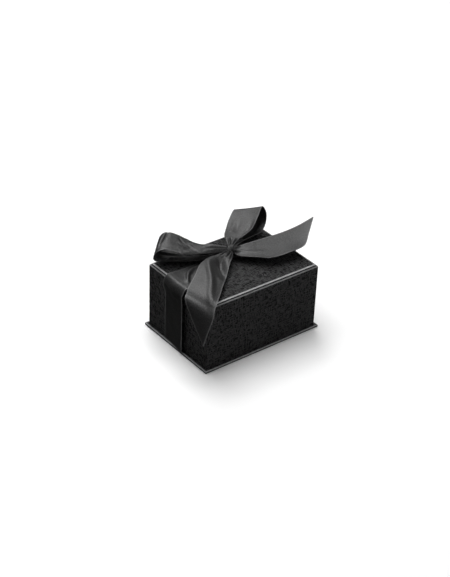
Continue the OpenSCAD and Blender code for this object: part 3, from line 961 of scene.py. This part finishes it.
# ---------------------------------------------------------------- ribbon
def catmull_rom(values, t):
    """Points of a smooth curve through values, at each t counted in values."""
    values = np.asarray(values, float)
    last = len(values) - 1
    start = np.clip(np.floor(t).astype(int), 0, last - 1)
    shape = (-1,) + (1,) * (values.ndim - 1)
    f = (t - start).reshape(shape)
    a, b = values[np.maximum(start - 1, 0)], values[start]
    c, d = values[start + 1], values[np.minimum(start + 2, last)]
    return 0.5 * (2 * b + (c - a) * f + (2 * a - 5 * b + 4 * c - d) * f**2 + (3 * b - a - 3 * c + d) * f**3)


def fold_height(t, place, half_width, points):
    """Height of one fold over the rows at stations t, whose points have places across."""
    at, across, height = (np.array(column, float) for column in zip(*points))
    centre = np.interp(t, at, across)[:, None]
    tall = np.interp(t, at, height, left=0, right=0)[:, None]
    return tall * np.exp(-(((place - centre) / half_width) ** 2))


def gathers(place, spread, lift, wanted, deepest, seed):
    """Soft pleats that lengthen each row towards its wanted width, no deeper than deepest."""
    broad = np.sin(2 * np.pi * (2.3 * place + 0.13 * seed))
    narrow = np.sin(2 * np.pi * (4.1 * place + 0.37 * seed))
    wave = broad + 0.4 * narrow
    step = np.diff(place * spread[:, None], axis=1)
    low, high = np.zeros(len(spread)), deepest.copy()
    halvings = 18
    for _ in range(halvings):
        depth = (low + high) / 2
        rise = np.diff(lift + wave * depth[:, None], axis=1)
        short = np.sqrt(step**2 + rise**2).sum(axis=1) < wanted
        low, high = np.where(short, depth, low), np.where(short, high, depth)
    return wave * ((low + high) / 2)[:, None]


def turn_under(s, spread, wide, radius):
    """Places across a ribbon, and depths, with the width beyond its spread turned under the far edge."""
    along = wide[:, None] * s[None, :]
    past = along - spread[:, None]
    angle = np.clip(past / radius, 0, np.pi)
    beyond = np.maximum(past - np.pi * radius, 0)
    place = np.minimum(along, spread[:, None]) + radius * np.sin(angle) - beyond
    return place / spread[:, None], radius * (1 - np.cos(angle))


def strip_points(stations, rows, columns, folds=(), knots=(), tuck=1, seed=0, facing=1):
    """The grid of points of a ribbon that follows its stations. Near its knots, which are numbers of
    stations, the width that doesn't fit is turned under the left edge (tuck 0) or the right one (tuck 1).
    facing is -1 where the stations run the other way round, so that crowns and folds still rise."""
    t = np.linspace(0, len(stations) - 1, rows)
    s = np.linspace(0, 1, columns)
    left = catmull_rom([station[0] for station in stations], t)
    right = catmull_rom([station[1] for station in stations], t)
    crown = catmull_rom([station[2] for station in stations], t)
    middle = (left + right) / 2
    across = right - left
    normal = np.cross(np.gradient(middle, axis=0), across)
    for _ in range(3):
        normal[1:-1] = (normal[:-2] + 2 * normal[1:-1] + normal[2:]) / 4
    normal *= facing / np.linalg.norm(normal, axis=1)[:, None]
    ribbon = settings().ribbon
    width = ribbon.width / MM
    spread = np.linalg.norm(across, axis=1)
    near = np.zeros(rows)
    for knot in knots:
        near = np.maximum(near, np.clip(KNOT_HOLD - np.abs(t - knot) / KNOT_FADE, 0, 1))
    near = near * near * (3 - 2 * near)
    wide = spread + near * np.clip(np.minimum(width, 2 * spread) - spread, 0, None)
    if tuck:
        place, depth = turn_under(s, spread, wide, FOLD_RADIUS)
    else:
        place, depth = turn_under(1 - s, spread, wide, FOLD_RADIUS)
        place = 1 - place
    lift = crown[:, None] * 4 * place * (1 - place)
    for half_width, points in folds:
        lift = lift + fold_height(t, place, half_width, points)
    wanted = wide + near * np.clip(width - wide, 0, None)
    deepest = ribbon.pleat_depth / MM * np.clip(spread / 7, 0.25, 1)
    outward = math.copysign(1, normal[rows // 4, 2])
    lift = lift - outward * depth
    lift = lift + gathers(place, spread, lift, wanted, deepest, seed)
    return left[:, None] + across[:, None] * place[:, :, None] + normal[:, None] * lift[:, :, None]


def ribbon_mesh(name, grid):
    """A sheet of ribbon on a grid of points in millimetres above the top panel, mapped in metres."""
    ribbon = settings().ribbon
    rows, columns = grid.shape[:2]
    points = grid * MM + np.array([0, 0, PANEL_TOP])
    faces = []
    for i in range(rows - 1):
        for j in range(columns - 1):
            a = i * columns + j
            faces.append((a, a + columns, a + columns + 1, a + 1))
    mesh = bpy.data.meshes.new(name)
    mesh.from_pydata(points.reshape(-1, 3).tolist(), [], faces)
    obj = bpy.data.objects.new(name, mesh)
    bpy.context.scene.collection.objects.link(obj)
    middle = points[:, columns // 2]
    along = np.concatenate([[0], np.cumsum(np.linalg.norm(np.diff(middle, axis=0), axis=1))])
    layer = mesh.uv_layers.new(name="cloth")
    for loop in mesh.loops:
        row, column = divmod(loop.vertex_index, columns)
        layer.data[loop.index].uv = (ribbon.width * column / (columns - 1), along[row])
    width = np.linalg.norm(np.diff(points, axis=1), axis=2).sum(axis=1)
    from_edge = np.minimum(np.arange(columns), columns - 1 - np.arange(columns)) / (columns - 1)
    mesh.attributes.new("rim", "FLOAT", "POINT").data.foreach_set("value", np.outer(width, from_edge).ravel())
    mesh.shade_smooth()
    deselect_all()
    obj.select_set(True)
    bpy.context.view_layer.objects.active = obj
    apply_modifier(obj, "SOLIDIFY", thickness=ribbon.thickness, offset=0, use_even_offset=False)
    bpy.ops.object.shade_smooth_by_angle(angle=math.radians(60))
    return obj


def make_ribbon(name, stations, folds, knots, tuck, seed, rows=170, columns=97):
    """One piece of the bow; it stands for the node that its name starts with."""
    grid = strip_points(stations, rows, columns, folds, knots, tuck, seed)
    obj = ribbon_mesh(name, grid)
    finish_with(obj, "satin", "lid", [name.removesuffix("_satin")])
    return obj


def band_stations():
    """The band's stations: down one short side, puffed out where it turns over the edge, over the lid under
    the knot, and down the other side."""
    low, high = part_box("ribbon_band")
    ribbon = settings().ribbon.width / MM
    half = LID_HIGH.x / MM
    side, front = half + 0.5, high.y / MM - ribbon
    rear, end = high.y / MM, (low.z - PANEL_TOP) / MM
    lay, flare = 0.45, 2.0
    return [
        ((-side, rear, end), (-side - flare, front, end), 0.0),
        ((-side, rear, -25), (-side - flare, front, -25), 0.0),
        ((-side, rear, -12), (-side - flare, front, -12), 0.0),
        ((-side - 1.2, rear, -6.6), (-side - 2.2, front, -6.6), 0.3),
        ((-side - 1.5, rear, -3.2), (-side - 2, front, -3.2), 0.6),
        ((-side + 0.5, rear, 0.5), (-side + 0.3, front, 0.4), 0.7),
        ((-half + 3, rear, lay + 0.6), (-half + 3, front, lay + 0.5), 0.3),
        ((-half + 9, rear, lay), (-half + 9, front + 0.4, lay), 0.1),
        ((-20, rear, lay), (-20, -4, lay), 0.1),
        ((-6, 10.6, lay + 0.2), (-6, 2.4, lay + 0.2), 0.1),
        ((2.2, 9.6, 0.9), (2.2, 4.4, 0.9), 0.0),
        ((10, 10.4, lay + 0.2), (10, 0.4, lay + 0.2), 0.1),
        ((22, rear, lay), (22, -6.6, lay), 0.1),
        ((half - 8, rear, lay), (half - 8, front, lay), 0.1),
        ((half - 1.4, rear, lay + 0.1), (half - 1.4, front, lay + 0.1), 0.2),
        ((side - 0.3, rear, -0.5), (side - 0.3, front, -0.5), 0.2),
        ((side, rear, -3), (side, front, -3), 0.1),
        ((side, rear, -8), (side, front, -8), 0.0),
        ((side, rear, end), (side, front, end), 0.0),
    ]


def make_band():
    """The band round the lid, gathered under the knot."""
    rows, columns, under_knot = 280, 49, 10
    grid = strip_points(band_stations(), rows, columns, BAND_FOLDS, facing=-1)
    t = np.linspace(0, len(band_stations()) - 1, rows)
    s = np.linspace(0, 1, columns)
    gather = np.clip(1 - np.abs(t - under_knot) / BAND_FADE, 0, 1)[:, None] ** 1.5
    grid[:, :, 2] += gather * BAND_GATHER * (1 + np.sin(2 * np.pi * 4.3 * s))[None, :]
    obj = ribbon_mesh("ribbon_band_satin", grid)
    finish_with(obj, "satin", "lid", ["ribbon_band"])


def make_knot():
    """The knot: the ribbon folded in half and wrapped tightly once round the middle of the bow."""
    low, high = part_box("bow_knot")
    centre = (low + high) / 2
    radius, half = (high.z - low.z) / 2 / MM, (high.x - low.x) / 2 / MM
    rows, columns, hidden = 120, 49, 8
    turn = np.linspace(0, 2.06 * np.pi, rows)[:, None]
    s = np.linspace(-1, 1, columns)[None, :]
    angle = turn - np.pi / 2
    pinch = 1 - 0.72 * np.abs(s) ** 4.5
    drift = 0.3 * np.sin(angle + 0.7)
    pleat = np.sin(2 * np.pi * 0.9 * (s + drift) + 0.9) + 0.4 * np.sin(2 * np.pi * 2.2 * (s - 0.7 * drift))
    overlap = 0.05 * turn / np.pi
    reach = (radius - KNOT_WALL) * pinch + 0.28 * pleat * (1 - np.abs(s) ** 4) - overlap
    x = centre.x / MM + half * (s * (1 - 0.1 * np.sin(angle)) + 0.14 * np.cos(angle))
    y = centre.y / MM + reach * np.cos(angle)
    z = (centre.z - PANEL_TOP) / MM + reach * np.sin(angle)
    grid = np.stack([np.broadcast_to(x, reach.shape), y, z], axis=-1)
    obj = ribbon_mesh("bow_knot_satin", grid)
    finish_with(obj, "satin", "lid", ["bow_knot"])


# ---------------------------------------------------------------- stage
def aim_at(obj, target, roll=0.0):
    """Turns a light or a camera from where it is towards a point, then rolls it round its line of sight."""
    back = (obj.location - Vector(target)).normalized()
    obj.rotation_euler = back.to_track_quat("Z", "Y").to_euler()
    obj.rotation_euler.rotate_axis("Z", roll)


def add_soft_light(name, place, size, power):
    """A square area light that looks at the middle of the box."""
    light = bpy.data.lights.new(name, "AREA")
    light.size = size
    light.energy = power
    obj = bpy.data.objects.new(name, light)
    obj.location = place
    bpy.context.scene.collection.objects.link(obj)
    aim_at(obj, LIT_POINT)


def make_stage():
    """Floor, soft lights, room light and camera."""
    stage = settings().stage
    scene = bpy.context.scene
    deselect_all()
    bpy.ops.mesh.primitive_plane_add(size=FLOOR_SIZE)
    floor = bpy.context.object
    floor.name = "floor"
    finish_with(floor, "floor")
    floor.visible_glossy = False
    world = bpy.data.worlds.new("room")
    world.use_nodes = True
    background = world.node_tree.nodes["Background"]
    background.inputs["Color"].default_value = (1, 1, 1, 1)
    background.inputs["Strength"].default_value = stage.room
    scene.world = world
    add_soft_light("key", (0.25, 0.72, 0.72), 0.5, stage.key_power)
    add_soft_light("side", (-0.6, 0.35, 0.6), 0.5, stage.side_power)
    add_soft_light("front", (0.5, -1.3, 0.8), 1.2, stage.front_power)
    add_soft_light("overhead", (0.03, 0.32, 1.09), 0.85, stage.overhead_power)
    back = Vector((
        math.sin(stage.azimuth) * math.cos(stage.elevation),
        -math.cos(stage.azimuth) * math.cos(stage.elevation),
        math.sin(stage.elevation),
    ))
    camera = bpy.data.objects.new("camera", bpy.data.cameras.new("camera"))
    scene.collection.objects.link(camera)
    camera.data.lens = stage.lens
    camera.data.sensor_fit = "HORIZONTAL"
    camera.data.sensor_width = 36
    camera.data.clip_start = 0.01
    camera.location = Vector(stage.aim) + back * stage.distance
    aim_at(camera, stage.aim, stage.roll)
    scene.camera = camera
    scene.view_settings.view_transform = "Standard"
    scene.view_settings.look = "None"


# ---------------------------------------------------------------- operators
class GIFTBOX_OT_stage(bpy.types.Operator):
    """Add the floor, the lights and the camera"""

    bl_idname = "gift_box.stage"
    bl_label = "Stage"

    def execute(self, context):
        make_stage()
        return {"FINISHED"}


class GIFTBOX_OT_boards(bpy.types.Operator):
    """Finish the boards, the tapes and the floor paper of the frame"""

    bl_idname = "gift_box.boards"
    bl_label = "Boards and Tapes"

    def execute(self, context):
        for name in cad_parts:
            if "tapes" in name:
                finish_node(name, "corner_tape")
            elif "wall" in name or name.endswith("board") or name == "pad_card":
                finish_node(name, "greyboard")
        finish_node("tray_floor_paper", "liner_paper")
        return {"FINISHED"}


class GIFTBOX_OT_papers(bpy.types.Operator):
    """Build the covering papers of the lid, the tray and the base"""

    bl_idname = "gift_box.papers"
    bl_label = "Covering Papers"

    def execute(self, context):
        make_lid_wrap()
        make_panel_wrap()
        make_lid_lining()
        make_base_wrap()
        make_base_liner()
        make_tray_wrap()
        return {"FINISHED"}


class GIFTBOX_OT_insert(bpy.types.Operator):
    """Build the velvet insert and its foam"""

    bl_idname = "gift_box.insert"
    bl_label = "Velvet Insert"

    def execute(self, context):
        make_insert()
        return {"FINISHED"}


class GIFTBOX_OT_band(bpy.types.Operator):
    """Build the ribbon band round the lid"""

    bl_idname = "gift_box.band"
    bl_label = "Ribbon Band"

    def execute(self, context):
        make_band()
        return {"FINISHED"}


class GIFTBOX_OT_loops(bpy.types.Operator):
    """Build the two loops of the bow"""

    bl_idname = "gift_box.loops"
    bl_label = "Bow Loops"

    def execute(self, context):
        make_ribbon("bow_loop_left_satin", LOOP_LEFT, LOOP_LEFT_FOLDS, knots=(0, 12), tuck=1, seed=1)
        make_ribbon("bow_loop_right_satin", LOOP_RIGHT, LOOP_RIGHT_FOLDS, knots=(0, 11), tuck=0, seed=2)
        return {"FINISHED"}


class GIFTBOX_OT_tails(bpy.types.Operator):
    """Build the two tails of the bow"""

    bl_idname = "gift_box.tails"
    bl_label = "Bow Tails"

    def execute(self, context):
        make_ribbon("bow_tail_left_satin", TAIL_LEFT, TAIL_LEFT_FOLDS, knots=(0,), tuck=0, seed=3)
        make_ribbon("bow_tail_right_satin", TAIL_RIGHT, TAIL_RIGHT_FOLDS, knots=(0,), tuck=1, seed=4)
        return {"FINISHED"}


class GIFTBOX_OT_knot(bpy.types.Operator):
    """Build the knot of the bow"""

    bl_idname = "gift_box.knot"
    bl_label = "Bow Knot"

    def execute(self, context):
        make_knot()
        return {"FINISHED"}


OPERATORS = (
    GIFTBOX_OT_stage, GIFTBOX_OT_boards, GIFTBOX_OT_papers, GIFTBOX_OT_insert,
    GIFTBOX_OT_band, GIFTBOX_OT_loops, GIFTBOX_OT_tails, GIFTBOX_OT_knot,
)


class GIFTBOX_PT_panel(bpy.types.Panel):
    """Settings and pieces of the gift box"""

    bl_idname = "GIFTBOX_PT_panel"
    bl_label = "Gift Box"
    bl_space_type = "VIEW_3D"
    bl_region_type = "UI"
    bl_category = "Gift Box"

    def draw(self, context):
        for operator in OPERATORS:
            self.layout.operator(operator.bl_idname)
        for group in (settings().paper, settings().ribbon, settings().insert, settings().stage):
            box = self.layout.box()
            for name in group.__annotations__:
                box.prop(group, name)


CLASSES = (
    PaperSettings, RibbonSettings, InsertSettings, StageSettings, GiftBoxSettings,
    *OPERATORS, GIFTBOX_PT_panel,
)


def register():
    """Registers the classes and gives the scene its settings."""
    for item in CLASSES:
        bpy.utils.register_class(item)
    bpy.types.Scene.gift_box = bpy.props.PointerProperty(type=GiftBoxSettings)


def unregister():
    """Undoes register."""
    del bpy.types.Scene.gift_box
    for item in reversed(CLASSES):
        bpy.utils.unregister_class(item)


def main():
    """Registers the classes, then builds the stage and every piece."""
    register()
    bpy.ops.gift_box.stage()
    bpy.ops.gift_box.boards()
    bpy.ops.gift_box.papers()
    bpy.ops.gift_box.insert()
    bpy.ops.gift_box.band()
    bpy.ops.gift_box.loops()
    bpy.ops.gift_box.tails()
    bpy.ops.gift_box.knot()


if __name__ == "__main__":
    main()
